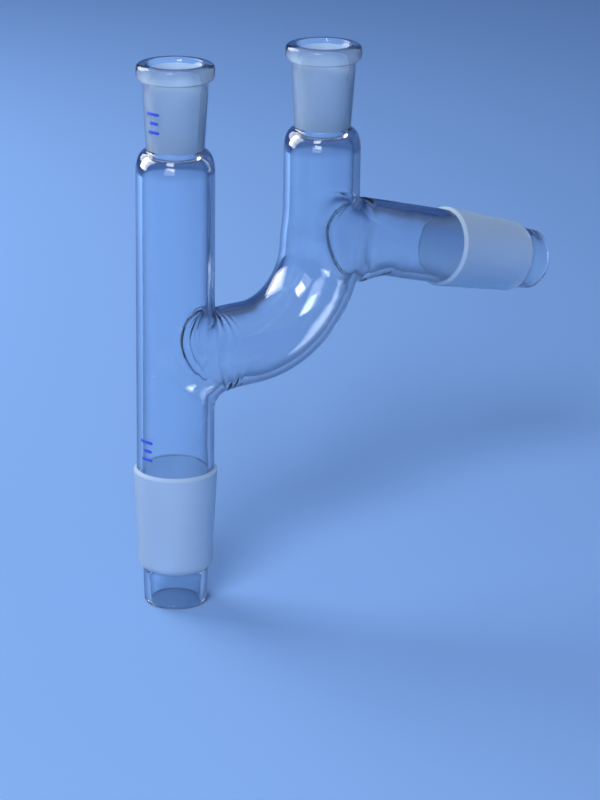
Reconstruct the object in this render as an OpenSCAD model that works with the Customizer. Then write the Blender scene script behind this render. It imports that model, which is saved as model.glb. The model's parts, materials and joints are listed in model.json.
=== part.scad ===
// Distillation head with two upright ground sockets, a ground cone for the
// flask and a sloping side arm that ends in a ground cone for the condenser.
// One piece of blown borosilicate glass.
// The origin is on the column's axis, at the wide end of the flask cone.
// +Z runs up the column, and +X runs from the column to the neck and the arm.

/* [Tube] */
// Outside diameter of the column, the neck and the arm
tube_d = 22.3; // [20.5:0.1:23.5]
// Thickness of the blown wall
wall = 1.9; // [1.5:0.1:2.3]
// Outside diameter of the bend, which swells a little as it is blown
bend_d = 24; // [22.4:0.1:24.6]

/* [Ground cones] */
// Diameter of a cone at its wide end
cone_d = 24; // [23:0.1:26]
// Ground length of a cone
cone_len = 29; // [20:1:36]
// Length over which a ground joint changes by 1 mm in diameter
taper = 10; // [8:1:14]
// Length of the rounded step from the tube out to the cone
cone_step = 1.3; // [1:0.1:4]
// Distance to each side of a cone's wide end over which its bore narrows to the tube's
bore_ease = 6; // [2:0.5:8]
// Height of the rounding at a cone's narrow end
cone_round = 2.2; // [1:0.1:3]

/* [Drip tips] */
// Outside diameter of a drip tip at its end
tip_d = 18.2; // [17:0.1:18.8]
// Length of the flask cone's drip tip
flask_tip_len = 11; // [6:0.5:20]
// Length of the condenser cone's drip tip
arm_tip_len = 8; // [5:0.5:20]

/* [Ground sockets] */
// Bore of a socket at its mouth
socket_d = 14.5; // [13:0.1:16]
// Ground length of a socket
socket_len = 23; // [16:1:30]
// Wall of a socket at its narrow end
socket_wall = 2; // [1.6:0.1:2.4]
// Diameter of the rolled lip
lip_d = 22; // [21:0.1:24]
// Radius of the roll of the lip
lip_roll = 2.4; // [2:0.1:2.8]
// Depth of the clear mouth above the ground bore
mouth_depth = 1.5; // [1:0.1:2]
// Diameter of the mouth at its top
mouth_d = 15.7; // [15:0.1:16.5]
// Height of the rounded shoulder between tube and socket
shoulder_h = 6; // [4:0.5:8]

/* [Layout] */
// Height of the column's lip above the wide end of the flask cone
column_h = 118.8; // [100:0.2:160]
// Distance between the axes of the column and the neck
neck_spacing = 51.6; // [46:0.2:65]
// How far the neck's lip lies below the column's lip
neck_drop = 0.7; // [0:0.1:12]
// Height at which the branch leaves the column
branch_z = 33.7; // [26:0.1:40]
// Radius of the bend, along its middle line
bend_r = 25.7; // [22:0.1:28]
// Height on the neck at which the arm's axis starts
arm_z = 63.5; // [60:0.2:74]
// Angle by which the arm slopes down
arm_droop = 15.4; // [5:0.2:30]
// Distance from the neck's axis to the wide end of the arm's cone
arm_reach = 47.9; // [42:0.2:80]

/* [Seals] */
// Angle from a branch's middle to the side of its opening, round the tube
seal_turn = 88; // [76:1:90]
// How far the drawn stub tapers in from the tube's half width
stub_taper = 2.15; // [1:0.05:2.6]
// Height of the fillet above the branch
branch_fillet_up = 3; // [2:0.1:5]
// Height of the fillet under the branch
branch_fillet_down = 4.8; // [2:0.1:7]
// Distance from the column's axis at which the branch is round
branch_seal_len = 20.5; // [19:0.1:22]
// Height of the fillet above the arm
arm_fillet_up = 2.4; // [2:0.1:4]
// Height of the fillet under the arm
arm_fillet_down = 6.2; // [2:0.1:7]
// How far the drawn stub hangs below the arm's own line
stub_flare = 6; // [0:0.1:7]
// Distance from the neck's axis at which the arm is round
arm_seal_len = 26.2; // [24:0.1:26.4]
// Distance from the tube's axis to the seam, where the stub was fused to the next tube
seam_out = 13.8; // [13:0.1:15]
// Depth of the seam's valley outside
seam_depth = 0.6; // [0:0.05:0.8]
// Height of the seam's bead in the bore
seam_bead = 0.4; // [0:0.05:0.8]
// Distance from the neck's axis to the ring where the arm was joined to its stub
ring_at = 29.2; // [29.2:0.1:34]
// Depth of that ring outside
ring_groove = 0.1; // [0:0.05:0.5]
// Height of that ring in the bore
ring_ridge = 0.1; // [0:0.05:1]

/* [Hidden] */

GLASS = [0.80, 0.90, 0.96, 0.45];
$fn = 64;
arc_steps = 8;
seal_sides = 40;
seal_steps = 16;

// how far a drip tip's top stands in from the cone above it
tip_step = 1.1;
// half the flat that is left at the round end of a drip tip
edge_flat = 0.01;
// angle at which a socket's shoulder ends, and how far out and up its fillet reaches
shoulder_angle = 75;
fillet_out = 0.1;
fillet_up = 0.6;
// angle at which the lip's roll starts, and how square it is: 1 would be a round roll
lip_angle = -80;
squareness = 0.6;
// width of the step from a shoulder's inside up to the ground bore
bore_step = 0.4;

tube_r = tube_d / 2;
bend_tube_r = bend_d / 2;
cone_r = cone_d / 2;
cone_end_r = cone_r - cone_len / taper / 2;
tip_r = tip_d / 2;
tip_top_r = cone_end_r - tip_step;
edge_r = wall / 2 - edge_flat;
socket_r = socket_d / 2;
socket_end_r = socket_r - socket_len / taper / 2;
socket_out_r = socket_end_r + socket_wall;
lip_mid_r = lip_d / 2 - lip_roll;
socket_foot = -mouth_depth - socket_len;

bend_z = branch_z + bend_r;
bend_x = neck_spacing - bend_r;
// length over which the bend's swelling dies away up the neck
ease_len = 11;

// the seals and the tubes that they run into overlap by this much
lap = 0.4;
// a seal ends this much proud of the tube inside it, and starts this far inside the wall
proud = 0.08;
sink = 0.35;
// length over which a seal leaves the tube's wall, at its top and bottom, and how much
// more that is at its sides
handle = 2.8;
side_handle = 1.4;
// length over which a seal straightens into its branch
run_out = 5;
// distance from the tube's wall to the stub's waist, and how much of the tube's
// curve the waist and the seam follow at their sides
waist_out = 1.35;
waist_bow = 0.33;
seam_bow = 0.55;
// how far the seam leans out at its foot, for each millimetre down
seam_lean = 0.13;
// lengths of the seam's slopes towards the tube and towards the branch
seam_before = 3.4;
seam_after = 2;
// how far the seal in the bore lies inside the one outside, above and below
bore_drop = 1.7;
// share of the branch's lower fillet that is left at the waist
waist_share = 0.2;
// half length of the ring in the arm
ring_half = 2.6;
past = 1;

// ---- outlines, as points of radius and height ----

// points on an ellipse's arc from angle a0 to a1
function arc(cr, cz, rr, rz, a0, a1) =
    [for (i = [0:arc_steps]) let (a = a0 + (a1 - a0) * i / arc_steps)
        [cr + rr * cos(a), cz + rz * sin(a)]];

// points on a squared circle's arc from angle a0 to a1
function squared_arc(cr, cz, r, a0, a1) =
    [for (i = [0:2 * arc_steps]) let (a = a0 + (a1 - a0) * i / arc_steps / 2)
        [cr + r * pow(cos(a), squareness), cz + r * sign(a) * pow(abs(sin(a)), squareness)]];

// a smooth step from radius r0 at height z0 to radius r1 at height z1
function ease(r0, z0, r1, z1) =
    [for (i = [0:arc_steps]) let (t = i / arc_steps)
        [r0 + (r1 - r0) * (1 - cos(180 * t)) / 2, z0 + (z1 - z0) * t]];

// Outside of a cone's end, from the end of its tip up to the tube.
// Height 0 is the cone's wide end.
function cone_end_outside(tip_len) = concat(
    arc(tip_r - edge_r, -cone_len - tip_len + edge_r, edge_r, edge_r, -90, 0),
    arc(tip_top_r, -cone_len + cone_round,
        cone_end_r + cone_round / taper / 2 - tip_top_r, cone_round, -90, 0),
    ease(cone_r, 0, tube_r, cone_step));

// Bore of a cone's end, the same wall inside it.
function cone_end_bore(tip_len) = concat(
    [[tip_r - edge_r, -cone_len - tip_len - past]],
    arc(tip_r - edge_r, -cone_len - tip_len + edge_r, edge_r, edge_r, 270, 180),
    ease(tip_top_r - wall, -cone_len - cone_round,
        cone_end_r + cone_round / taper / 2 - wall, -cone_len + cone_round),
    ease(cone_r - bore_ease / taper / 2 - wall, -bore_ease, tube_r - wall, bore_ease));

// Outside of a socket's end, from the tube up to the top of the lip.
// Height 0 is the top of the lip.
function socket_end_outside() = concat(
    arc(socket_out_r, socket_foot - shoulder_h, tube_r - socket_out_r, shoulder_h,
        0, shoulder_angle),
    [[socket_out_r + fillet_out, socket_foot + fillet_up]],
    squared_arc(lip_mid_r, -lip_roll, lip_roll, lip_angle, 90));

// Bore of a socket's end: the rounded inside of the shoulder, the ground
// bore and the clear mouth.
function socket_end_bore() = concat(
    arc(socket_end_r + bore_step, socket_foot - shoulder_h - wall / 2,
        tube_r - wall - socket_end_r - bore_step, shoulder_h - wall / 2, 0, 90),
    [[socket_end_r, socket_foot]],
    [[socket_r, -mouth_depth]],
    [[mouth_d / 2, 0]],
    [[mouth_d / 2, past]]);

function raised(points, h) = [for (p = points) [p[0], p[1] + h]];

// closes an outline on the axis
function closed(points) = concat([[0, points[0][1]]], points, [[0, points[len(points) - 1][1]]]);

module turned(points) rotate_extrude() polygon(closed(points));

// how much wider than the tube the neck is at height z
function neck_swell(z) =
    (bend_tube_r - tube_r) * (1 + cos(180 * min(1, max(0, (z - bend_z) / ease_len)))) / 2;

// ---- seals: the drawn glass where one tube leaves another ----

// A point on the face of the column, or of the neck and the bend below it.
// in = how far inside the outer face, turn = angle round it, z = height.
function face_point(on_neck, in, turn, z) =
    let (bent = on_neck && z < bend_z,
         r = (bent ? bend_tube_r : on_neck ? tube_r + neck_swell(z) : tube_r) - in,
         x = bent ? sqrt(pow(bend_r + r * cos(turn), 2) - pow(bend_z - z, 2)) - bend_r
             : r * cos(turn))
    [x, r * sin(turn), z];

// width and height of an oval [half width, height above, height below] at angle a
function oval_y(oval, a) = oval[0] * cos(a);
function oval_z(oval, a) = (sin(a) > 0 ? oval[1] : oval[2]) * sin(a);

// a point on the opening's edge, at angle a round it: share is 1 at the edge
function edge_point(on_neck, in, opening, z0, droop, a, share) =
    let (turn = share * oval_y(opening, a),
         z = z0 - (tube_r - in) * cos(turn) * tan(droop) + share * oval_z(opening, a))
    face_point(on_neck, in, turn, z);

// the end of the handle that makes a seal leave along the tube's wall
function handle_point(on_neck, in, opening, z0, droop, a) =
    let (edge = edge_point(on_neck, in, opening, z0, droop, a, 1),
         way = edge_point(on_neck, in, opening, z0, droop, a, 0.99) - edge)
    edge + way / norm(way) * (handle + side_handle * cos(a) * cos(a));

// how far back a ring is drawn at width y, because it follows the curve of a tube of radius r
function drawn_back(r, y) = r - sqrt(r * r - pow(min(abs(y), r), 2));

// a point on an oval across the branch, at distance s along it
function branch_point(oval, z0, droop, s, a) =
    let (up = oval_z(oval, a))
    [s * cos(droop) + up * sin(droop), oval_y(oval, a), z0 - s * sin(droop) + up * cos(droop)];

function bezier(p, t) = let (u = 1 - t)
    pow(u, 4) * p[0] + 4 * pow(u, 3) * t * p[1] + 6 * u * u * t * t * p[2]
    + 4 * u * pow(t, 3) * p[3] + pow(t, 4) * p[4];

// moves a point of a seal towards its branch's axis where the seam runs round it
function seamed(p, z0, droop, depth) =
    let (s = p[0] * cos(droop) - (p[2] - z0) * sin(droop),
         up = p[0] * sin(droop) + (p[2] - z0) * cos(droop),
         away = s - seam_out + seam_lean * up + seam_bow * drawn_back(tube_r, p[1]),
         t = min(1, abs(away) / (away < 0 ? seam_before : seam_after)),
         cut = depth * (1 + cos(180 * t)) / 2 / norm([p[1], up]))
    p - cut * [up * sin(droop), p[1], up * cos(droop)];

// A solid plug with the shape of a seal. It starts inside the wall of the
// tube that it leaves, follows that wall, and turns into a round tube.
module seal(on_neck, in, opening, waist, end_r, end_s, z0, droop) {
    end = [end_r + proud, end_r + proud, end_r + proud];
    depth = in > 0 ? seam_bead : seam_depth;
    lines = [for (i = [0:seal_sides - 1]) let (a = 360 * i / seal_sides) [
        edge_point(on_neck, in + sink, opening, z0, droop, a, 1),
        handle_point(on_neck, in, opening, z0, droop, a),
        branch_point(waist, z0, droop,
            tube_r + waist_out - waist_bow * drawn_back(tube_r - in, oval_y(waist, a)), a),
        branch_point(end, z0, droop, end_s - run_out, a),
        branch_point(end, z0, droop, end_s, a)]];
    n = seal_sides;
    last = seal_steps * n;
    root = last + n;
    rings = [for (j = [0:seal_steps], line = lines)
        seamed(bezier(line, j / seal_steps), z0, droop, depth)];
    skin = [for (j = [0:seal_steps - 1], i = [0:n - 1])
        let (p = j * n + i, q = j * n + (i + 1) % n)
        each [[p, p + n, q], [q, p + n, q + n]]];
    back = [for (i = [0:n - 1]) [root, i, (i + 1) % n]];
    front = [for (i = [0:n - 1]) last + n - 1 - i];
    polyhedron(points = concat(rings, [[0, 0, z0]]), faces = concat(skin, back, [front]));
}

module branch_seal(in) {
    r = bend_tube_r - (in > 0 ? bore_drop : 0);
    seal(false, in, [seal_turn, r + branch_fillet_up, r + branch_fillet_down],
        [tube_r - stub_taper - in, r, r + branch_fillet_down * waist_share],
        bend_tube_r - in, branch_seal_len, branch_z, 0);
}

module arm_seal(in) {
    r = tube_r - (in > 0 ? bore_drop : 0);
    translate([neck_spacing, 0, 0])
        seal(true, in, [seal_turn, r + arm_fillet_up, r + arm_fillet_down],
            [tube_r - stub_taper - in, r, r + stub_flare],
            tube_r - in, arm_seal_len, arm_z, arm_droop);
}

// ---- the tubes, once for the outside and once for the bore ----

module column(bore) {
    foot = bore ? cone_end_bore(flask_tip_len) : cone_end_outside(flask_tip_len);
    head = bore ? socket_end_bore() : socket_end_outside();
    turned(concat(foot, raised(head, column_h)));
}

module neck(bore) {
    in = bore ? wall : 0;
    head = bore ? socket_end_bore() : socket_end_outside();
    translate([neck_spacing, 0, 0])
        turned(concat(
            ease(bend_tube_r - in, bend_z, tube_r - in, bend_z + ease_len),
            raised(head, column_h - neck_drop)));
}

module bend(bore) {
    r = bend_tube_r - (bore ? wall : 0);
    translate([bend_x, 0, bend_z]) rotate([90, 0, 0])
        rotate_extrude(angle = 90, start = 270) translate([bend_r, 0]) circle(r);
    translate([branch_seal_len - lap, 0, branch_z]) rotate([0, 90, 0])
        cylinder(r = r, h = bend_x - branch_seal_len + lap);
}

// the ring where the arm was joined on, as a step of height rise in the radius r
function ring(r, rise) = [for (i = [0:arc_steps]) let (t = 2 * i / arc_steps - 1)
    [r - rise * (1 + cos(180 * t)) / 2, arm_reach - ring_at + ring_half * t]];

// The arm is drawn on its cone's wide end, which is arm_reach from the neck.
module arm(bore) {
    r = tube_r - (bore ? wall : 0);
    foot = bore ? cone_end_bore(arm_tip_len) : cone_end_outside(arm_tip_len);
    joined = ring(r, bore ? ring_ridge : ring_groove);
    translate([neck_spacing, 0, arm_z]) rotate([0, arm_droop - 90, 0]) translate([0, 0, -arm_reach])
        turned(concat(foot, joined, [[r, arm_reach - arm_seal_len + lap]]));
}

module glass_head()
    color(GLASS)
        difference() {
            union() {
                column(false);
                neck(false);
                bend(false);
                branch_seal(0);
                arm(false);
                arm_seal(0);
            }
            column(true);
            neck(true);
            bend(true);
            branch_seal(wall);
            arm(true);
            arm_seal(wall);
        }

glass_head();
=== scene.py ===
# %% [markdown]
# # A distillation head in clear glass
# A distillation head is one piece of blown glass. A straight column carries the vapour up, a bent neck
# takes it aside, and a sloping arm leads it into the condenser. Glass hides nothing: the bore, the wall
# and every seal show, so the lesson is mostly about one closed skin with a smooth outside and a smooth
# inside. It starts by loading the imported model, which fixes where everything is.

# %% Load the frame
import json
import math

import bmesh
import bpy
import numpy as np
from mathutils import Matrix, Vector


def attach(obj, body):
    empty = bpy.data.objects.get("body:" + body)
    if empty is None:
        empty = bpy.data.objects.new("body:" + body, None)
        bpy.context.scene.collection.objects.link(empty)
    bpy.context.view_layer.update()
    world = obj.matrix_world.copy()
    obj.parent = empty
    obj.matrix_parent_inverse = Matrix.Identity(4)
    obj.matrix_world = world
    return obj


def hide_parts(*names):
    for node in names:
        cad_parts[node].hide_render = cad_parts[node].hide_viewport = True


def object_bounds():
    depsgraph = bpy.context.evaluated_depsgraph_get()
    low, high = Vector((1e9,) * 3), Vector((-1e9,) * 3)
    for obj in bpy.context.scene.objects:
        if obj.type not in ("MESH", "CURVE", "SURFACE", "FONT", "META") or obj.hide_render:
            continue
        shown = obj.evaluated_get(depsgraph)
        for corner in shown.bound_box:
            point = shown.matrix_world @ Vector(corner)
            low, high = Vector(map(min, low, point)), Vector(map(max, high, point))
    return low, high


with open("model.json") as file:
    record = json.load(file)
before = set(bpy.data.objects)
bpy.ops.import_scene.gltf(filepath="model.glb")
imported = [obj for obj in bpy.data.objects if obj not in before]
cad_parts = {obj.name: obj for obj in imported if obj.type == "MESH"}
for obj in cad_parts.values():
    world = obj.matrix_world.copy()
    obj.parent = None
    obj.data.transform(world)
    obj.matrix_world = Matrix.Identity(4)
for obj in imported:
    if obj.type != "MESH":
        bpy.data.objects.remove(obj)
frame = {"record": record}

cad_low, cad_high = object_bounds()
mm = 0.001
print("the object's box in mm:", [round(v / mm, 1) for v in (*cad_low, *cad_high)])

# %% [markdown]
# ## Places and sizes
# The places come from the record: its mounts say where the two sockets and the two cones are. The sizes
# that the record doesn't hold are those of the glass tube and of the standard ground joints. A joint's
# cone gets 1 mm narrower over every 10 mm of its length, so its radius changes by a twentieth.

# %% Places from the record
mounts = {m["name"]: m for m in frame["record"]["mounts"]}
column_top = cad_high.z
tip_end = cad_low.z
mouth_depth = column_top - mounts["column_socket"]["pos_m"][2]
neck_x = mounts["neck_socket"]["pos_m"][0]
neck_top = mounts["neck_socket"]["pos_m"][2] + mouth_depth
arm_cone_at = Vector(mounts["condenser_cone"]["pos_m"])
arm_way = Vector(mounts["condenser_cone"]["axis"])
arm_reach = (arm_cone_at.x - neck_x) / arm_way.x
arm_z = arm_cone_at.z - arm_way.z * arm_reach
droop = -arm_way.z / arm_way.x
print("neck at", round(neck_x / mm, 1), "mm, arm", round(arm_reach / mm, 1), "mm long to its cone")

# %% Sizes of the glass
tube_r = 11.15 * mm
wall = 1.9 * mm
bend_tube_r = 12.0 * mm
bend_turn_r = 25.7 * mm
ease_len = 11.0 * mm
branch_z = 33.7 * mm
bend_x = neck_x - bend_turn_r
bend_z = branch_z + bend_turn_r

taper = 0.05
cone_r = 12.0 * mm
cone_len = 29.0 * mm
cone_end_r = cone_r - cone_len * taper
cone_step = 1.3 * mm
cone_round = 2.2 * mm
BORE_EASE = 6.0 * mm
tip_r = 9.1 * mm
tip_step = 1.1 * mm
flask_tip_len = -tip_end - cone_len
arm_tip_len = 8.0 * mm

socket_r = 7.25 * mm
socket_len = 23.0 * mm
socket_wall = 2.0 * mm
socket_end_r = socket_r - socket_len * taper
lip_r = 11.0 * mm
lip_roll = 2.4 * mm
mouth_r = 7.85 * mm
shoulder_h = 6.0 * mm

# %% [markdown]
# ## Outlines
# Every end of the head is turned on a lathe, so each is an outline: a list of radius, height and a flag
# that says whether that stretch is ground. Arcs and cosine steps keep the outline smooth. Glass shows any
# corner as a bright line, so a step is split into many short pieces.

# %% Outline helpers
ROW_STEP = 2.6 * mm
ARC_STEPS = 10
SQUARENESS = 0.6
CLEAR, GROUND = 0.0, 1.0


def arc(centre_r, centre_z, size_r, size_z, start, stop, steps=ARC_STEPS, kind=CLEAR):
    """Points on an ellipse's arc, from start to stop degrees."""
    turns = np.radians(np.linspace(start, stop, steps + 1))
    return [(centre_r + size_r * math.cos(a), centre_z + size_z * math.sin(a), kind) for a in turns]


def squared_arc(centre_r, centre_z, size, start, stop, steps=2 * ARC_STEPS):
    """Points on a squared circle's arc, which is flatter than a circle at its side and its top."""
    turns = np.radians(np.linspace(start, stop, steps + 1))
    return [(centre_r + size * math.cos(a) ** SQUARENESS,
             centre_z + size * math.copysign(abs(math.sin(a)) ** SQUARENESS, a), CLEAR) for a in turns]


def ease(r0, z0, r1, z1, steps=ARC_STEPS, kind=CLEAR):
    """A smooth step from one radius and height to another."""
    return [(r0 + (r1 - r0) * (1 - math.cos(math.pi * t)) / 2, z0 + (z1 - z0) * t, kind)
            for t in np.linspace(0, 1, steps + 1)]


def straight(r0, z0, r1, z1, kind=CLEAR, step=ROW_STEP):
    """Points along a straight stretch, its two ends included."""
    count = max(1, round(math.hypot(r1 - r0, z1 - z0) / step))
    return [(r0 + (r1 - r0) * t, z0 + (z1 - z0) * t, kind) for t in np.linspace(0, 1, count + 1)]


def cone_outside(tip_len):
    """The outside of a cone's end, from its tip up to the tube. Height 0 is the cone's wide end."""
    edge = wall / 2
    tip_top_r = cone_end_r - tip_step
    round_r = cone_end_r + cone_round * taper
    return (
        arc(tip_r - edge, -cone_len - tip_len + edge, edge, edge, -90, 0)
        + straight(tip_r, -cone_len - tip_len + edge * 1.3, tip_top_r, -cone_len - 0.3 * mm)
        + arc(tip_top_r, -cone_len + cone_round, round_r - tip_top_r, cone_round, -80, 0, kind=GROUND)
        + straight(round_r, -cone_len + cone_round, cone_r, 0, GROUND)
        + ease(cone_r, 0.15 * mm, tube_r, cone_step, kind=GROUND)
    )


def cone_bore(tip_len):
    """The bore of a cone's end, from its tip up to the tube."""
    edge = wall / 2
    tip_top_r = cone_end_r - tip_step
    round_r = cone_end_r + cone_round * taper
    return (
        arc(tip_r - edge, -cone_len - tip_len + edge, edge, edge, 270, 180)
        + straight(tip_r - wall, -cone_len - tip_len + edge * 1.3, tip_top_r - wall, -cone_len - cone_round)
        + ease(tip_top_r - wall, -cone_len - cone_round + 0.2 * mm, round_r - wall, -cone_len + cone_round)
        + straight(round_r - wall, -cone_len + cone_round + 0.2 * mm, cone_r - wall - 0.3 * mm, -6 * mm)
        + ease(cone_r - wall - 0.32 * mm, -5.6 * mm, tube_r - wall, BORE_EASE)
    )


def socket_outside():
    """The outside of a socket's end, from the tube up to the top of the lip, which is at height 0."""
    foot = -mouth_depth - socket_len
    out_r = socket_end_r + socket_wall
    lip_mid_r = lip_r - lip_roll
    return (
        arc(out_r, foot - shoulder_h, tube_r - out_r, shoulder_h, 0, 75)
        + arc(out_r + 0.75 * mm, foot + 0.5 * mm, 0.67 * mm, 0.67 * mm, 250, 180, 5)
        + straight(out_r + 0.12 * mm, foot + 1.4 * mm, lip_mid_r + 0.75 * mm, -2 * lip_roll - 0.1 * mm)
        + squared_arc(lip_mid_r, -lip_roll, lip_roll, -66, 90)
    )


def socket_bore():
    """The bore of a socket's end, from the tube up to the mouth's rounded edge."""
    foot = -mouth_depth - socket_len
    edge = 0.5 * mm
    return (
        arc(socket_end_r + 0.4 * mm, foot - shoulder_h - wall / 2,
            tube_r - wall - socket_end_r - 0.4 * mm, shoulder_h - wall / 2, 0, 84)
        + arc(socket_end_r + 0.7 * mm, foot - 0.7 * mm, 0.7 * mm, 0.7 * mm, 250, 180, 5)
        + straight(socket_end_r, foot, socket_r, -mouth_depth, GROUND)
        + straight(socket_r + 0.06 * mm, -mouth_depth + 0.15 * mm, mouth_r - 0.1 * mm, -2 * edge,
                   step=0.4 * mm)
        + arc(mouth_r + edge, -edge, edge, edge, 180, 90, 5)
    )


print("points in a cone's outline:", len(cone_outside(flask_tip_len)),
      "and in a socket's:", len(socket_outside()))

# %% [markdown]
# ## Rows
# An outline becomes rows. A row is one ring of glass: the point that it is drawn round, the direction
# that counts as its front, its radius, and flags. One list of rows goes up the outside of a tube, over
# its lip and down its bore, so the wall is closed at the lip by itself. A tube that carries a branch has
# a window in it, where the rows are flagged to be cut.

# %% The windows
COLUMN_SIDES, NECK_SIDES, ARM_SIDES = 96, 152, 208
COLUMN_WINDOW_CELLS, NECK_WINDOW_CELLS = 28, 44
COLUMN_WINDOW_ROWS, NECK_WINDOW_ROWS = 20, 16
column_window = (9.0 * mm, 56.0 * mm)
neck_window = (26.5 * mm, 67.5 * mm)
branch_seal_len = 20.5 * mm
arm_seal_len = 26.2 * mm
turn_len = bend_turn_r * math.pi / 2
run_in = bend_x - branch_seal_len


def window_rows(window, count):
    """The heights of the rows that cross a window."""
    return list(np.linspace(window[0], window[1], count + 1))


# %% The rows of a tube
def row(centre, front, radius, ground, window=0.0, blown=0.0):
    return (*centre, *front, radius, ground, window, blown)


def blown_at(z, low, high, fade=9.0 * mm):
    """How freely the glass was blown at height z: 1 between low and high, and 0 at the ground ends."""
    t = min(max(min(z - low, high - z) / fade, 0.0), 1.0)
    return t * t * (3 - 2 * t)


def column_rows():
    foot, neck_low = tip_end + flask_tip_len + cone_len, column_top - mouth_depth - socket_len - shoulder_h
    rows = []
    for inner in (False, True):
        r = tube_r - (wall if inner else 0)
        end = cone_bore(flask_tip_len) if inner else cone_outside(flask_tip_len)
        head = socket_bore() if inner else socket_outside()
        head = [(hr, hz + column_top, kind) for hr, hz, kind in head]
        low = end[-1][1]
        side = [(p, 0.0) for p in end[:-1]]
        side += [(p, 0.0) for p in straight(r, low, r, column_window[0])[:-1]]
        side += [((r, z, CLEAR), 1.0) for z in window_rows(column_window, COLUMN_WINDOW_ROWS)]
        side += [(p, 0.0) for p in straight(r, column_window[1], r, head[0][1])[1:-1]]
        side += [(p, 0.0) for p in head]
        made = [row((0, 0, z), (1, 0, 0), radius, kind, cut, blown_at(z, foot, neck_low))
                for (radius, z, kind), cut in side]
        rows += made[::-1] if inner else made
    return rows


def bend_radius(s, inner):
    """Radius of the bent neck at distance s along it: the bend's swelling dies away up the neck."""
    t = min(max((s - run_in - turn_len) / ease_len, 0.0), 1.0)
    swell = (bend_tube_r - tube_r) * (1 + math.cos(math.pi * t)) / 2
    return tube_r + swell - (wall if inner else 0)


def bend_line(s):
    """The point at distance s along the bent neck's middle line, and the way that faces out of the bend."""
    if s < run_in:
        return (branch_seal_len + s, 0, branch_z), (0, 0, -1)
    if s < run_in + turn_len:
        a = (s - run_in) / bend_turn_r
        front = (math.sin(a), 0, -math.cos(a))
        return (bend_x + bend_turn_r * front[0], 0, bend_z + bend_turn_r * front[2]), front
    return (neck_x, 0, bend_z + s - run_in - turn_len), (1, 0, 0)


def neck_rows():
    head_at = neck_top - mouth_depth - socket_len - shoulder_h
    s_head = head_at - bend_z + run_in + turn_len
    rows = []
    for inner in (False, True):
        low = [float(s) for s in np.linspace(0, neck_window[0], 18)[:-1]]
        top = s_head - (wall / 2 if inner else 0)
        high = [float(s) for s in np.linspace(neck_window[1], top, 9)[1:-1]]
        cut = window_rows(neck_window, NECK_WINDOW_ROWS)
        made = []
        for s in low + cut + high:
            made.append(row(*bend_line(s), bend_radius(s, inner), CLEAR, float(s in cut), 1.0))
        for r, z, kind in (socket_bore() if inner else socket_outside()):
            made.append(row((neck_x, 0, z + neck_top), (1, 0, 0), r, kind, 0.0, 0.0))
        rows += made[::-1] if inner else made
    return rows


RING_AT, RING_HALF = 29.2 * mm, 3.0 * mm
RING_GROOVE, RING_RIDGE = 0.06 * mm, 0.05 * mm


def arm_rows():
    """The arm runs out along arm_way. Its front, where a ring starts, is its underside."""
    front = (arm_way.z, 0, -arm_way.x)
    rows = []
    for inner in (False, True):
        r = tube_r - (wall if inner else 0)
        rise = RING_RIDGE if inner else RING_GROOVE
        end = cone_bore(arm_tip_len) if inner else cone_outside(arm_tip_len)
        made = []
        for s in np.linspace(arm_seal_len, arm_reach - end[-1][1], 16)[:-1]:
            t = min(abs(s - RING_AT) / RING_HALF, 1.0)
            made.append((r - rise * (1 + math.cos(math.pi * t)) / 2, s, CLEAR))
        made += [(p[0], arm_reach - p[1], p[2]) for p in end[::-1]]
        made = [row((neck_x + arm_way.x * s, 0, arm_z + arm_way.z * s), front, r, kind, 0.0,
                    blown_at(s, -arm_reach, arm_reach)) for r, s, kind in made]
        rows += made[::-1] if inner else made
    return rows


rows_of = {"column": column_rows(), "neck": neck_rows(), "arm": arm_rows()}
print("rows:", {name: len(rows) for name, rows in rows_of.items()})

# %% [markdown]
# ## A tree that turns rows into a skin
# Geometry Nodes makes the tubes. The tree lays out a flat grid with one line of points for each row, asks
# the row for its centre, front and radius, and rolls the line up into a ring. The same tree makes the
# column, the bent neck and the arm, because a straight tube is only a bent one with no bend. It cuts the
# window, closes the ring and ends in a plain mesh.

# %% Node helpers
def new_tree(name, inputs):
    """A Geometry Nodes tree with named inputs, each (name, socket type, default)."""
    tree = bpy.data.node_groups.new(name, "GeometryNodeTree")
    tree.is_modifier = True
    tree.interface.new_socket("Geometry", in_out="INPUT", socket_type="NodeSocketGeometry")
    tree.interface.new_socket("Geometry", in_out="OUTPUT", socket_type="NodeSocketGeometry")
    for label, kind, value in inputs:
        socket = tree.interface.new_socket(label, in_out="INPUT", socket_type=kind)
        if value is not None:
            socket.default_value = value
    return tree


class Maker:
    """Adds nodes to a tree. An input may be a plain value or another node's socket."""

    def __init__(self, tree):
        self.tree = tree

    def node(self, kind, inputs=(), **settings):
        made = self.tree.nodes.new(kind)
        for key, value in settings.items():
            setattr(made, key, value)
        for key, value in dict(inputs).items():
            if isinstance(value, bpy.types.NodeSocket):
                self.tree.links.new(value, made.inputs[key])
            else:
                made.inputs[key].default_value = value
        return made

    def math(self, operation, a, b=0.0):
        return self.node("ShaderNodeMath", {0: a, 1: b}, operation=operation).outputs[0]

    def scaled(self, vector, by):
        made = self.node("ShaderNodeVectorMath", {0: vector}, operation="SCALE")
        self.tree.links.new(by, made.inputs["Scale"])
        return made.outputs[0]

    def attribute(self, name, kind="FLOAT"):
        made = self.node("GeometryNodeInputNamedAttribute", {"Name": name}, data_type=kind)
        return made.outputs["Attribute"]


def set_inputs(modifier, values):
    """Sets a modifier's named inputs by their sockets' identifiers."""
    ids = {s.name: s.identifier for s in modifier.node_group.interface.items_tree
           if s.item_type == "SOCKET" and s.in_out == "INPUT"}
    for name, value in values.items():
        modifier[ids[name]] = value


# %% The tree
ROW_FIELDS = ("ground", "window", "blown")
SEAM = 2e-6


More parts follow.
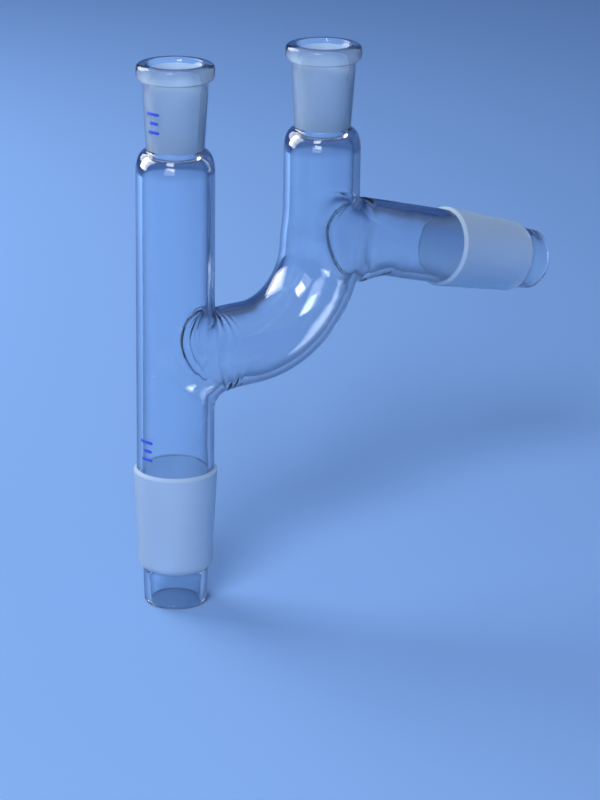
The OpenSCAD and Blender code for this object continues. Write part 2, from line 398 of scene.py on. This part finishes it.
def skin_tree():
    tree = new_tree("rows to skin", [
        ("Sides", "NodeSocketInt", 96),
        ("Window Cells", "NodeSocketInt", 24),
        ("Glass", "NodeSocketMaterial", None),
    ])
    m = Maker(tree)
    given = m.node("NodeGroupInput").outputs
    rows = m.node("GeometryNodeAttributeDomainSize", {"Geometry": given["Geometry"]}).outputs["Point Count"]
    grid = m.node("GeometryNodeMeshGrid", {
        "Size X": 1.0, "Size Y": 1.0, "Vertices X": m.math("ADD", given["Sides"], 1.0), "Vertices Y": rows})
    place = m.node("ShaderNodeSeparateXYZ", {0: m.node("GeometryNodeInputPosition").outputs[0]}).outputs
    around = m.math("MULTIPLY", place["X"], 2 * math.pi)
    last = m.math("SUBTRACT", rows, 1.0)
    number = m.math("ROUND", m.math("MULTIPLY", m.math("ADD", place["Y"], 0.5), last))

    def ask(name, kind):
        """What the row of each grid point says."""
        value = m.attribute(name, kind)
        return m.node("GeometryNodeSampleIndex", {
            "Geometry": given["Geometry"], "Value": value, "Index": number},
            data_type=kind, domain="POINT").outputs[0]

    flow = grid.outputs["Mesh"]
    stored = [("around", around)] + [(name, ask(name, "FLOAT")) for name in ROW_FIELDS]
    for name, value in stored:
        flow = m.node("GeometryNodeStoreNamedAttribute", {"Geometry": flow, "Name": name, "Value": value},
                      data_type="FLOAT", domain="POINT").outputs[0]
    centre, front = ask("centre", "FLOAT_VECTOR"), ask("front", "FLOAT_VECTOR")
    radius = ask("radius", "FLOAT")
    ahead = m.scaled(front, m.math("MULTIPLY", radius, m.math("COSINE", around)))
    aside = m.math("MULTIPLY", radius, m.math("SINE", around))
    aside = m.node("ShaderNodeCombineXYZ", {"Y": aside}).outputs[0]
    ring = m.node("ShaderNodeVectorMath", {0: ahead, 1: aside}, operation="ADD").outputs[0]
    at = m.node("ShaderNodeVectorMath", {0: centre, 1: ring}, operation="ADD").outputs[0]
    flow = m.node("GeometryNodeSetPosition", {"Geometry": flow, "Position": at}).outputs[0]
    half_angle = m.math("DIVIDE", m.math("MULTIPLY", given["Window Cells"], 2 * math.pi), given["Sides"])
    near = m.math("LESS_THAN", m.math("ABSOLUTE", m.attribute("around")), half_angle)
    cut = m.math("MULTIPLY", near, m.math("GREATER_THAN", m.attribute("window"), 0.99))
    flow = m.node("GeometryNodeDeleteGeometry", {"Geometry": flow, "Selection": cut},
                  domain="FACE").outputs[0]
    flow = m.node("GeometryNodeMergeByDistance", {"Geometry": flow, "Distance": SEAM}).outputs[0]
    flow = m.node("GeometryNodeRealizeInstances", {"Geometry": flow}).outputs[0]
    flow = m.node("GeometryNodeSetMaterial", {"Geometry": flow, "Material": given["Glass"]}).outputs[0]
    m.node("NodeGroupOutput", {"Geometry": flow})
    return tree


rows_to_skin = skin_tree()
clear_glass = bpy.data.materials.new("clear_glass")
ground_glass = bpy.data.materials.new("ground_glass")
print("nodes in the tree:", len(rows_to_skin.nodes))

# %% [markdown]
# ## The three tubes
# The rows go in as a mesh of loose points that carry their facts as attributes. The tree's result is made
# a plain mesh at once, and kept as arrays until the seals are ready to be joined to it.

# %% Run the tree
FIELDS = ("around", "ground", "blown")


def rows_object(name, rows):
    table = np.array(rows)
    mesh = bpy.data.meshes.new(name)
    mesh.from_pydata(table[:, 0:3].tolist(), [], [])
    for key, columns in (("centre", table[:, 0:3]), ("front", table[:, 3:6])):
        mesh.attributes.new(key, "FLOAT_VECTOR", "POINT").data.foreach_set("vector", columns.ravel())
    for key, column in zip(("radius",) + ROW_FIELDS, table[:, 6:].T):
        mesh.attributes.new(key, "FLOAT", "POINT").data.foreach_set("value", column)
    made = bpy.data.objects.new(name, mesh)
    bpy.context.scene.collection.objects.link(made)
    return made


def plain_mesh(maker):
    """The evaluated object as a plain mesh. The object that made it is removed."""
    mesh = bpy.data.meshes.new_from_object(maker.evaluated_get(bpy.context.evaluated_depsgraph_get()))
    bpy.data.objects.remove(maker)
    return mesh


def tube_skin(name, sides, window_cells):
    maker = rows_object(name + "_rows", rows_of[name])
    modifier = maker.modifiers.new("rows to skin", "NODES")
    modifier.node_group = rows_to_skin
    set_inputs(modifier, {"Sides": sides, "Window Cells": window_cells, "Glass": clear_glass})
    return plain_mesh(maker)


def as_arrays(mesh):
    """Points, faces and the fields of a mesh, as arrays."""
    points = np.empty(len(mesh.vertices) * 3)
    mesh.vertices.foreach_get("co", points)
    fields = {}
    for key in FIELDS:
        fields[key] = np.empty(len(mesh.vertices))
        mesh.attributes[key].data.foreach_get("value", fields[key])
    return points.reshape(-1, 3), [tuple(p.vertices) for p in mesh.polygons], fields


skins = []
for name, sides, cells in (("column", COLUMN_SIDES, COLUMN_WINDOW_CELLS),
                           ("neck", NECK_SIDES, NECK_WINDOW_CELLS), ("arm", ARM_SIDES, 0)):
    skins.append(as_arrays(tube_skin(name, sides, cells)))
    print(name, "has", len(skins[-1][1]), "faces")

# %% [markdown]
# ## The seals
# Where one tube leaves another, the glass was drawn out and fused in the flame. Nothing turned or swept
# has that shape, so it is a loft. Round the hole in the parent tube runs an oval. From each of its points
# a curve with five controls leaves along the parent's wall, swings out through a slight waist and runs
# into the child tube as a true circle. Between the oval and the window's square edge lies a flat patch
# that stays on the parent's own surface. The bore has a seal of its own, a wall's thickness inside.

# %% The parent's surface
PATCH_RINGS, LOFT_RINGS = 4, 36
OPEN_TURN = math.radians(93)
HANDLE, SIDE_HANDLE, BOW = 2.8 * mm, 2.0 * mm, 0.33
WAIST, WAIST_OUT, RUN_OUT = 9.0 * mm, 1.35 * mm, 5.0 * mm
BORE_DROP = 1.7 * mm
NUDGE = 0.01


def column_point(turn, z, inner):
    r = tube_r - (wall if inner else 0)
    return np.array([r * math.cos(turn), r * math.sin(turn), z])


def neck_point(turn, s, inner):
    centre, front = bend_line(s)
    r = bend_radius(s, inner)
    return np.array(centre) + r * (math.cos(turn) * np.array(front) + math.sin(turn) * np.array([0, 1, 0]))


def column_along(turn, z, inner):
    return z


def neck_along(turn, z, inner):
    """The distance along the bent neck of its outer face's point at a turn and a height."""
    if z > bend_z:
        return run_in + turn_len + z - bend_z
    out = bend_turn_r + bend_radius(run_in, inner) * math.cos(turn)
    return run_in + bend_turn_r * math.acos((bend_z - z) / out)


# %% The loft
def seal(kind, inner, sides, window, window_count, heights_of_oval, waist, end_r, end_s, start, way, slope):
    """Rings of points from the window's edge over the oval and out to the child tube.

    The oval spans OPEN_TURN to each side, and heights_of_oval above and below. waist is (half width, height
    above, height below). start is the point on the parent's axis that the child leaves from, way is the
    child's direction and slope how fast it falls.
    """
    point, along = (column_point, column_along) if kind == "column" else (neck_point, neck_along)
    parent_sides = COLUMN_SIDES if kind == "column" else NECK_SIDES
    half = COLUMN_WINDOW_CELLS if kind == "column" else NECK_WINDOW_CELLS
    parent_r = tube_r - (wall if inner else 0)
    step = 2 * math.pi / parent_sides
    heights = window_rows(window, window_count)
    oval = (OPEN_TURN, *heights_of_oval)
    edge = [(i * step, heights[0]) for i in range(0, half)]
    edge += [(half * step, heights[j]) for j in range(0, window_count)]
    edge += [(i * step, heights[-1]) for i in range(half, -half, -1)]
    edge += [(-half * step, heights[j]) for j in range(window_count, 0, -1)]
    edge += [(i * step, heights[0]) for i in range(-half, 0)]
    assert len(edge) == sides, (len(edge), sides)

    def on_oval(size, angle):
        return size[0] * math.sin(angle), -size[1 if math.cos(angle) < 0 else 2] * math.cos(angle)

    def opening(angle, share):
        turn, up = (share * v for v in on_oval(oval, angle))
        z = start[2] - parent_r * math.cos(turn) * slope + up
        return turn, along(turn, z, inner)

    middle = [opening(a, 1.0)[1] for a in (0.0, math.pi)]
    across = opening(math.pi / 2, 1.0)
    out, up_way = np.array(way), np.array([-way[2], 0, way[0]])
    rings = [[] for _ in range(PATCH_RINGS + LOFT_RINGS + 1)]
    for k, (turn, s) in enumerate(edge):
        tall = (middle[1] - across[1]) if s > across[1] else (across[1] - middle[0])
        angle = math.atan2(turn / across[0], -(s - across[1]) / tall)
        uniform = 2 * math.pi * k / sides
        uniform -= 2 * math.pi if uniform > math.pi else 0
        angle += 2 * math.pi * round((uniform - angle) / (2 * math.pi))
        target = opening(angle, 1.0)
        for j in range(PATCH_RINGS):
            t = j / PATCH_RINGS
            rings[j].append(point(turn + (target[0] - turn) * t, s + (target[1] - s) * t, inner))
        first = point(*target, inner)
        along_wall = point(*opening(angle, 1 - NUDGE), inner) - first
        along_wall *= (HANDLE + SIDE_HANDLE * math.sin(angle) ** 2) / np.linalg.norm(along_wall)
        mid_angle = (angle + uniform) / 2
        y, up = on_oval(waist, mid_angle)
        bowed = BOW * (parent_r - math.sqrt(parent_r ** 2 - y * y))
        third = np.array(start) + out * (tube_r + WAIST_OUT - bowed) + up_way * up + np.array([0, y, 0])
        y, up = end_r * math.sin(uniform), -end_r * math.cos(uniform)
        fifth = np.array(start) + out * end_s + up_way * up + np.array([0, y, 0])
        controls = np.array([first, first + along_wall, third, fifth - out * RUN_OUT, fifth])
        for j in range(LOFT_RINGS + 1):
            t = j / LOFT_RINGS
            weights = [math.comb(4, i) * (1 - t) ** (4 - i) * t ** i for i in range(5)]
            rings[PATCH_RINGS + j].append(np.array(weights) @ controls)
    return np.array(rings)


def branch_seal(inner):
    r = bend_tube_r - (BORE_DROP if inner else 0)
    waist_w = WAIST - (wall if inner else 0)
    return seal("column", inner, NECK_SIDES, column_window, COLUMN_WINDOW_ROWS,
                (r + 3.0 * mm, r + 4.8 * mm), (waist_w, r, r + 1.0 * mm),
                bend_tube_r - (wall if inner else 0), branch_seal_len, (0, 0, branch_z), (1, 0, 0), 0.0)


def arm_seal(inner):
    r = tube_r - (BORE_DROP if inner else 0)
    waist_w = WAIST - (wall if inner else 0)
    return seal("neck", inner, ARM_SIDES, neck_window, NECK_WINDOW_ROWS,
                (r + 2.4 * mm, r + 6.2 * mm), (waist_w, r, r + 6.0 * mm),
                tube_r - (wall if inner else 0), arm_seal_len, (neck_x, 0, arm_z), tuple(arm_way), droop)


# %% [markdown]
# ## Ripples
# The branch's seal was worked for a long time in the flame, and it kept soft ripples that run round the
# opening. They are rings of a wave that grows from nothing at the column and dies away into the bend.
# Outside and bore ripple out of step, so the wall gets thicker and thinner and bends the light.

# %% Work the seals
SEAM_OUT, SEAM_BOW, SEAM_LEAN = 13.8 * mm, 0.55, 0.13


def worked(rings, start, way, depth_at):
    """Moves the loft's rings in or out, square to the child's direction, by depth_at(turn, past the seam)."""
    made = rings.copy()
    start, way = np.array(start), np.array(way)
    up_way = np.array([-way[2], 0, way[0]])
    for j in range(PATCH_RINGS + 1, len(rings) - 1):
        middle = rings[j].mean(axis=0)
        fade = min((j - PATCH_RINGS) / 6, 1.0, (len(rings) - 1 - j) / 8)
        for k, at in enumerate(rings[j]):
            away = at - middle
            away = away - way * away.dot(way)
            across = min(abs(at[1]), tube_r)
            up = (at - start).dot(up_way)
            past = (at - start).dot(way) - SEAM_OUT + SEAM_LEAN * up
            past += SEAM_BOW * (tube_r - math.sqrt(tube_r ** 2 - across ** 2))
            move = fade * depth_at(2 * math.pi * k / len(rings[j]), past)
            made[j][k] += away / np.linalg.norm(away) * move
    return made


def valley(past, before, after):
    """A soft valley: 1 in its middle, 0 a length before it and 0 a length after it."""
    t = min(abs(past) / (before if past < 0 else after), 1.0)
    return (1 + math.cos(math.pi * t)) / 2


RIPPLE_LENGTH = 3.6 * mm
RIPPLE_OUT, RIPPLE_IN = 0.16 * mm, 0.11 * mm


def branch_work(inner):
    height, shift = (RIPPLE_IN, 1.9) if inner else (RIPPLE_OUT, 0.0)

    def depth_at(turn, past):
        gather = 0.35 + 0.65 * math.sin(turn) ** 2
        upper = (1 - math.cos(turn)) / 2
        window = math.exp(-(past / (7 * mm * gather)) ** 2)
        wave = height * gather * window * math.sin(2 * math.pi * past / (RIPPLE_LENGTH * gather) + shift)
        depth = 0.2 * mm if inner else (0.1 + 0.7 * upper ** 2) * mm
        return wave - depth * valley(past + 1.4 * mm, 3.4 * mm, 1.8 * mm)
    return depth_at


def arm_work(inner):
    def depth_at(turn, past):
        return -(0.4 if inner else 0.8) * mm * valley(past, 4.4 * mm, 2.4 * mm)
    return depth_at


def ring_faces(rings):
    """Points and four-sided faces of a stack of closed rings."""
    count, sides = rings.shape[:2]
    faces = []
    for j in range(count - 1):
        for k in range(sides):
            a, b = j * sides + k, j * sides + (k + 1) % sides
            faces.append((a, b, b + sides, a + sides))
    points = rings.reshape(-1, 3)
    turns = np.tile(np.linspace(0, 2 * math.pi, sides, endpoint=False), count)
    return points, faces, {"around": turns, "ground": np.zeros(len(points)), "blown": np.ones(len(points))}


for inner in (False, True):
    skins.append(ring_faces(worked(branch_seal(inner), (0, 0, branch_z), (1, 0, 0), branch_work(inner))))
    skins.append(ring_faces(worked(arm_seal(inner), (neck_x, 0, arm_z), arm_way, arm_work(inner))))
print("each seal has", PATCH_RINGS + LOFT_RINGS, "bands")

# %% [markdown]
# ## One closed skin
# All the parts meet ring on ring, so merging the doubles closes them into one skin. Its normals are then
# made to point out of the glass, which in the bore means towards the axis.

# %% Join and close
def joined(name, parts):
    points = np.concatenate([p for p, _, _ in parts])
    faces, shift = [], 0
    for p, part_faces, _ in parts:
        faces += [tuple(i + shift for i in face) for face in part_faces]
        shift += len(p)
    mesh = bpy.data.meshes.new(name)
    mesh.from_pydata(points.tolist(), [], faces)
    for key in FIELDS:
        values = np.concatenate([fields[key] for _, _, fields in parts])
        mesh.attributes.new(key, "FLOAT", "POINT").data.foreach_set("value", values)
    skin = bmesh.new()
    skin.from_mesh(mesh)
    bmesh.ops.remove_doubles(skin, verts=skin.verts, dist=SEAM)
    bmesh.ops.recalc_face_normals(skin, faces=skin.faces)
    if skin.calc_volume(signed=True) < 0:
        bmesh.ops.reverse_faces(skin, faces=skin.faces)
    open_edges = sum(1 for e in skin.edges if len(e.link_faces) != 2)
    print("volume in cm3:", round(skin.calc_volume() * 1e6, 2), "open edges:", open_edges)
    skin.to_mesh(mesh)
    skin.free()
    mesh.shade_smooth()
    return mesh


skin_mesh = joined("glass_skin", skins)
glass = bpy.data.objects.new("blown_glass_head", skin_mesh)
bpy.context.scene.collection.objects.link(glass)

# %% [markdown]
# ## The hand in the glass
# Drawn tube is even, but glass blown by hand is not. A second tree moves the skin in and out by a slow
# noise. It reads how freely each stretch was blown, so the ground joints keep their exact taper. The same
# tree gives the ground faces their own material.

# %% The second tree
def hand_tree():
    tree = new_tree("hand blown", [
        ("Wave Height", "NodeSocketFloat", 0.1 * mm),
        ("Wave Length", "NodeSocketFloat", 20 * mm),
        ("Seed", "NodeSocketFloat", 1.0),
        ("Glass", "NodeSocketMaterial", None),
        ("Ground Glass", "NodeSocketMaterial", None),
    ])
    m = Maker(tree)
    given = m.node("NodeGroupInput").outputs
    noise = m.node("ShaderNodeTexNoise", {
        "W": given["Seed"], "Scale": m.math("DIVIDE", 1.0, given["Wave Length"]), "Detail": 1.0},
        noise_dimensions="4D").outputs[0]
    wave = m.math("MULTIPLY", m.math("SUBTRACT", noise, 0.5), given["Wave Height"])
    wave = m.math("MULTIPLY", wave, m.attribute("blown"))
    offset = m.scaled(m.node("GeometryNodeInputNormal").outputs[0], wave)
    flow = m.node("GeometryNodeSetPosition", {"Geometry": given["Geometry"], "Offset": offset}).outputs[0]
    flow = m.node("GeometryNodeRealizeInstances", {"Geometry": flow}).outputs[0]
    flow = m.node("GeometryNodeSetMaterial", {"Geometry": flow, "Material": given["Glass"]}).outputs[0]
    matt = m.math("GREATER_THAN", m.attribute("ground"), 0.99)
    flow = m.node("GeometryNodeSetMaterial", {
        "Geometry": flow, "Selection": matt, "Material": given["Ground Glass"]}).outputs[0]
    m.node("NodeGroupOutput", {"Geometry": flow})
    return tree


by_hand = glass.modifiers.new("hand blown", "NODES")
by_hand.node_group = hand_tree()
set_inputs(by_hand, {"Wave Height": 0.16 * mm, "Wave Length": 22 * mm, "Seed": 4.0,
                     "Glass": clear_glass, "Ground Glass": ground_glass})
finished = bpy.data.meshes.new_from_object(glass.evaluated_get(bpy.context.evaluated_depsgraph_get()))
glass.modifiers.remove(by_hand)
glass.data = finished
finished.shade_smooth()
print("triangles in the glass:", sum(len(p.vertices) - 2 for p in finished.polygons),
      "materials:", [m.name for m in finished.materials])

# %% [markdown]
# ## Clear glass
# Borosilicate glass bends light a little less than window glass, with an index of 1.473. Its flame
# polished surface is perfectly smooth, apart from a faint unevenness left by the drawing. Where light
# meets the wall at a slant it has a longer way through it, so real glass takes a faint tint there. The
# deeper blue grey, nearly black, that this glass takes at the edges of a tube and round the seals is
# mostly painted shade: it stands in for the dark lines that dark surroundings draw in glass. Layer Weight
# gives that slant for every side alike.

# %% Clear glass
GLASS_INDEX = 1.473
# The second colour is painted shade: a near-black blue that darkens the glass where its face is seen at a
# slant.
FACE_TINT, EDGE_PAINTED_SHADE = (0.88, 0.93, 0.98), (0.02, 0.05, 0.14)
PAINTED_SHADE_FROM, PAINTED_SHADE_FULL = 0.30, 0.90


def surface(material):
    material.use_nodes = True
    tree = material.node_tree
    tree.nodes.clear()
    m = Maker(tree)
    shader = m.node("ShaderNodeBsdfPrincipled")
    m.node("ShaderNodeOutputMaterial", {"Surface": shader.outputs[0]})
    return m, shader


def set_clear(material):
    m, shader = surface(material)
    # Painted shade: Layer Weight turns the glass's colour towards a near-black blue where its face is seen at
    # a slant, which draws dark lines along the edges of the tubes and round the seals.
    slant = m.node("ShaderNodeLayerWeight", {"Blend": 0.5}).outputs["Facing"]
    depth = m.node("ShaderNodeMapRange", {"Value": slant, "From Min": PAINTED_SHADE_FROM, "From Max": PAINTED_SHADE_FULL},
                   interpolation_type="SMOOTHSTEP").outputs[0]
    tint = m.node("ShaderNodeMixRGB", {0: depth, 1: (*FACE_TINT, 1), 2: (*EDGE_PAINTED_SHADE, 1)}).outputs[0]
    shader.inputs["Base Color"].default_value = (*FACE_TINT, 1)
    m.tree.links.new(tint, shader.inputs["Base Color"])
    shader.inputs["Roughness"].default_value = 0.0
    shader.inputs["IOR"].default_value = GLASS_INDEX
    shader.inputs["Transmission Weight"].default_value = 1.0
    where = m.node("ShaderNodeTexCoord").outputs["Object"]
    uneven = m.node("ShaderNodeTexNoise", {"Vector": where, "Scale": 60.0, "Detail": 2.0}).outputs[0]
    bump = m.node("ShaderNodeBump", {"Height": uneven, "Strength": 0.03, "Distance": 0.2 * mm})
    m.tree.links.new(bump.outputs[0], shader.inputs["Normal"])


set_clear(clear_glass)

# %% [markdown]
# ## Ground glass
# The four joints are ground with fine abrasive, which leaves the face full of tiny pits. It scatters the
# light, so it looks milky and lets only a blurred picture through. Part of the light is therefore given
# back as from pale paint, and the rest goes through roughly. The grinding bit more in some places than in
# others, so the roughness is a little uneven.

# %% Ground glass
def set_ground(material):
    m, shader = surface(material)
    shader.inputs["Base Color"].default_value = (0.68, 0.85, 1.0, 1)
    shader.inputs["IOR"].default_value = GLASS_INDEX
    shader.inputs["Transmission Weight"].default_value = 0.6
    where = m.node("ShaderNodeTexCoord").outputs["Object"]
    grain = m.node("ShaderNodeTexNoise", {"Vector": where, "Scale": 900.0, "Detail": 3.0}).outputs[0]
    cloud = m.node("ShaderNodeTexNoise", {"Vector": where, "Scale": 120.0, "Detail": 2.0}).outputs[0]
    rough = m.node("ShaderNodeMapRange", {"Value": cloud, "To Min": 0.55, "To Max": 0.75}).outputs[0]
    m.tree.links.new(rough, shader.inputs["Roughness"])
    bump = m.node("ShaderNodeBump", {"Height": grain, "Strength": 0.25, "Distance": 0.03 * mm})
    m.tree.links.new(bump.outputs[0], shader.inputs["Normal"])


set_ground(ground_glass)

# %% [markdown]
# ## Blue enamel
# A small blue mark is fired on the column and on its socket. It is a plain group of bars of different
# lengths. Each bar is a thin plate of enamel that is wrapped round the tube and stands proud by about a
# tenth of a millimetre.

# %% Enamel bars
ENAMEL_LIFT, ENAMEL_THICK = 0.01 * mm, 0.05 * mm
END_ROUND = 0.12
BAR_CELLS, BAR_ROWS = 14, 6


def bar(radius_at, turn, z, width, height):
    """A rounded plate of enamel on a turned surface, centred at turn and z."""
    shells = []
    for lift in (ENAMEL_LIFT, ENAMEL_THICK):
        for j in range(BAR_ROWS + 1):
            v = j / BAR_ROWS - 0.5
            for i in range(BAR_CELLS + 1):
                u = i / BAR_CELLS - 0.5
                squeeze = math.sqrt(max(0.0, 1 - abs(2 * v) ** 3)) * END_ROUND + (1 - END_ROUND)
                height_at = z + v * height
                r = radius_at(height_at) + lift
                a = turn + u * width * squeeze / r
                shells.append((r * math.cos(a), r * math.sin(a), height_at))
    layer = (BAR_CELLS + 1) * (BAR_ROWS + 1)

    def at(i, j, top):
        return top * layer + j * (BAR_CELLS + 1) + i

    faces = []
    for j in range(BAR_ROWS):
        for i in range(BAR_CELLS):
            quad = (at(i, j, 1), at(i + 1, j, 1), at(i + 1, j + 1, 1), at(i, j + 1, 1))
            faces += [quad, tuple(v - layer for v in quad[::-1])]
    rim = [(i, 0) for i in range(BAR_CELLS)] + [(BAR_CELLS, j) for j in range(BAR_ROWS)]
    rim += [(i, BAR_ROWS) for i in range(BAR_CELLS, 0, -1)] + [(0, j) for j in range(BAR_ROWS, 0, -1)]
    for (i, j), (k, l) in zip(rim, rim[1:] + rim[:1]):
        faces.append((at(i, j, 0), at(k, l, 0), at(k, l, 1), at(i, j, 1)))
    return np.array(shells), faces


def enamel_mark(name, radius_at, turn, bars):
    points, faces = [], []
    for z, side, width, height in bars:
        p, f = bar(radius_at, turn + side, z, width, height)
        faces += [tuple(v + len(points) for v in face) for face in f]
        points += p.tolist()
    mesh = bpy.data.meshes.new(name)
    mesh.from_pydata(points, [], faces)
    mesh.materials.append(blue_enamel)
    mesh.shade_smooth()
    made = bpy.data.objects.new(name, mesh)
    bpy.context.scene.collection.objects.link(made)
    return made


def set_enamel(material):
    m, shader = surface(material)
    where = m.node("ShaderNodeTexCoord").outputs["Object"]
    specks = m.node("ShaderNodeTexNoise", {"Vector": where, "Scale": 1500.0, "Detail": 2.0}).outputs[0]
    tint = m.node("ShaderNodeMix", {0: specks, 6: (0.02, 0.05, 0.50, 1), 7: (0.05, 0.12, 0.75, 1)},
                  data_type="RGBA")
    m.tree.links.new(tint.outputs[2], shader.inputs["Base Color"])
    rough = m.node("ShaderNodeMapRange", {"Value": specks, "To Min": 0.3, "To Max": 0.5}).outputs[0]
    m.tree.links.new(rough, shader.inputs["Roughness"])


blue_enamel = bpy.data.materials.new("blue_enamel")
set_enamel(blue_enamel)

SOCKET_MARK_AT, COLUMN_MARK_AT = math.radians(189), math.radians(187)
MARK_BARS = ((0.0, 0.0, 5.0 * mm, 0.9 * mm), (-2.6 * mm, 0.05, 3.2 * mm, 0.9 * mm),
             (-5.2 * mm, 0.02, 4.2 * mm, 0.9 * mm))
socket_out_r = socket_end_r + socket_wall


def socket_radius(z):
    foot = column_top - mouth_depth - socket_len + 1.4 * mm
    top = column_top - 2 * lip_roll - 0.1 * mm
    share = (z - foot) / (top - foot)
    low = socket_out_r + 0.12 * mm
    return low + (lip_r - lip_roll + 0.75 * mm - low) * share


socket_mark = enamel_mark("enamel_socket_mark", socket_radius, SOCKET_MARK_AT,
                          [(column_top - 13 * mm + z, side, w, h) for z, side, w, h in MARK_BARS])
column_mark = enamel_mark("enamel_column_mark", lambda z: tube_r + 0.05 * mm, COLUMN_MARK_AT,
                          [(11 * mm + z, side, w, h) for z, side, w, h in MARK_BARS])
print("enamel bars:", 2 * len(MARK_BARS))

# %% [markdown]
# ## Camera
# The camera looks down on the head from its left front, through a long lens, so that upright lines stay
# nearly parallel. The stage and the lamps are laid out from it, so it comes first.

# %% Camera
AZIMUTH, ELEVATION, ROLL = (math.radians(a) for a in (-37.513, 18.734, 0.757))
DISTANCE = 0.8855
LOOK_AT = Vector((44.755 * mm, 0, 12.292 * mm))
back = Vector((math.sin(AZIMUTH) * math.cos(ELEVATION), -math.cos(AZIMUTH) * math.cos(ELEVATION),
               math.sin(ELEVATION)))
right = (-back).cross(Vector((0, 0, 1))).normalized()
up = right.cross(-back)
rolled_right = right * math.cos(ROLL) + up * math.sin(ROLL)
rolled_up = up * math.cos(ROLL) - right * math.sin(ROLL)

camera = bpy.data.objects.new("camera", bpy.data.cameras.new("camera"))
bpy.context.scene.collection.objects.link(camera)
camera.matrix_world = Matrix((
    (rolled_right.x, rolled_up.x, back.x, 0),
    (rolled_right.y, rolled_up.y, back.y, 0),
    (rolled_right.z, rolled_up.z, back.z, 0),
    (0, 0, 0, 1),
))
camera.location = LOOK_AT + back * DISTANCE
camera.data.lens = 135.25
camera.data.sensor_width = 36
camera.data.clip_start = 0.01
scene = bpy.context.scene
scene.camera = camera
scene.view_settings.view_transform = "Standard"
scene.cycles.max_bounces = 24
scene.cycles.transmission_bounces = 24
scene.cycles.glossy_bounces = 12

# %% Places on the stage
away = Vector((-back.x, -back.y, 0)).normalized()
floor_centre = Vector((LOOK_AT.x, 0, tip_end))


def studio(across, behind, height):
    """A place to the right of the object as the camera sees it, behind it and above the floor."""
    return floor_centre + right * across + away * behind + Vector((0, 0, height))


# %% [markdown]
# ## Stage
# Clear glass is drawn by its surroundings. The head stands in a shallow round bowl: a wide pale floor that
# bends up into a wall far behind, so no edge or horizon shows from any side.

# %% Floor
def plain_paint(name, colour):
    """A matt paint without any shine."""
    material = bpy.data.materials.new(name)
    m, shader = surface(material)
    shader.inputs["Base Color"].default_value = (*colour, 1)
    shader.inputs["Roughness"].default_value = 1.0
    shader.inputs["Specular IOR Level"].default_value = 0.0
    return material


def bowl(name, flat_r, bend, height, sides=96):
    profile = [(0.02, 0.0), (flat_r / 2, 0.0), (flat_r, 0.0)]
    profile += [(flat_r + bend * math.sin(a), bend - bend * math.cos(a))
                for a in np.radians(np.linspace(9, 90, 10))]
    profile += [(flat_r + bend, height)]
    points, faces = [tuple(floor_centre)], []
    for r, z in profile:
        for a in np.linspace(0, 2 * math.pi, sides, endpoint=False):
            points.append((floor_centre.x + r * math.cos(a), r * math.sin(a), tip_end + z))
    for i in range(sides):
        faces.append((0, 1 + i, 1 + (i + 1) % sides))
    for j in range(len(profile) - 1):
        for i in range(sides):
            p, q = 1 + j * sides + i, 1 + j * sides + (i + 1) % sides
            faces.append((p, p + sides, q + sides, q))
    mesh = bpy.data.meshes.new(name)
    mesh.from_pydata(points, [], faces)
    mesh.shade_smooth()
    made = bpy.data.objects.new(name, mesh)
    bpy.context.scene.collection.objects.link(made)
    return made


BOWL_FLAT, BOWL_BEND, BOWL_HEIGHT = 1.1, 0.5, 1.0
FLOOR_COLOUR = (0.20, 0.36, 0.69)
floor = bowl("bowl", BOWL_FLAT, BOWL_BEND, BOWL_HEIGHT)
floor.data.materials.append(plain_paint("floor_paint", FLOOR_COLOUR))
print("the floor is", round(2 * (BOWL_FLAT + BOWL_BEND), 1), "m wide")

# %% [markdown]
# ## Light
# The main soft box hangs to the left and behind the head. It makes the floor bright on that side and lets
# it fall off to the right, so the glass has something to bend. The key box, up to the left of the camera,
# makes the highlights on the lips, the shoulders and the bend. The fill box is a broad soft lamp in front
# that lifts the milky ground joints and isn't mirrored in the clear glass. Nothing stands on the stage for
# the glass alone: it shows the same floor and wall as the camera sees. A dim pale blue world fills in what
# the lamps leave.

# %% Lamps
def soft_box(name, place, facing, size_x, size_y, radiance):
    """A rectangular lamp that shines along facing. Its power comes from how bright its face looks."""
    lamp = bpy.data.lights.new(name, "AREA")
    lamp.shape, lamp.size, lamp.size_y = "RECTANGLE", size_x, size_y
    lamp.energy = radiance * math.pi * size_x * size_y
    made = bpy.data.objects.new(name, lamp)
    bpy.context.scene.collection.objects.link(made)
    made.location = place
    made.rotation_euler = (-Vector(facing)).to_track_quat("Z", "Y").to_euler()
    made.visible_camera = False
    return made


main_place = studio(-0.55, 0.40, 0.45)
soft_box("main_box", main_place, studio(-0.12, 0.25, 0) - main_place, 0.55, 0.55, 5.4)
key_way = Vector((-0.60, -0.42, 0.68)).normalized()
soft_box("key_box", LOOK_AT + key_way * 0.95, -key_way, 0.30, 0.28, 14.0)
fill_way = (back * 0.75 - right * 0.25 + Vector((0, 0, 0.25))).normalized()
fill = soft_box("fill_box", LOOK_AT + Vector((0, 0, 0.05)) + fill_way * 0.9, -fill_way, 0.5, 0.5, 4.2)
fill.visible_glossy = False

# %% World
world = bpy.data.worlds.new("studio")
bpy.context.scene.world = world
world.use_nodes = True
sky = world.node_tree.nodes["Background"].inputs
sky["Color"].default_value = (0.70, 0.82, 1.0, 1)
sky["Strength"].default_value = 0.3

# %% [markdown]
# ## Riding on the body
# Every piece rides on the head's one body, and the blown glass stands for the plain CAD solid.

# %% Ride
for piece, slot_name in ((glass, "clear_glass"), (socket_mark, "blue_enamel"), (column_mark, "blue_enamel")):
    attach(piece, "root")
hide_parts("glass_head")
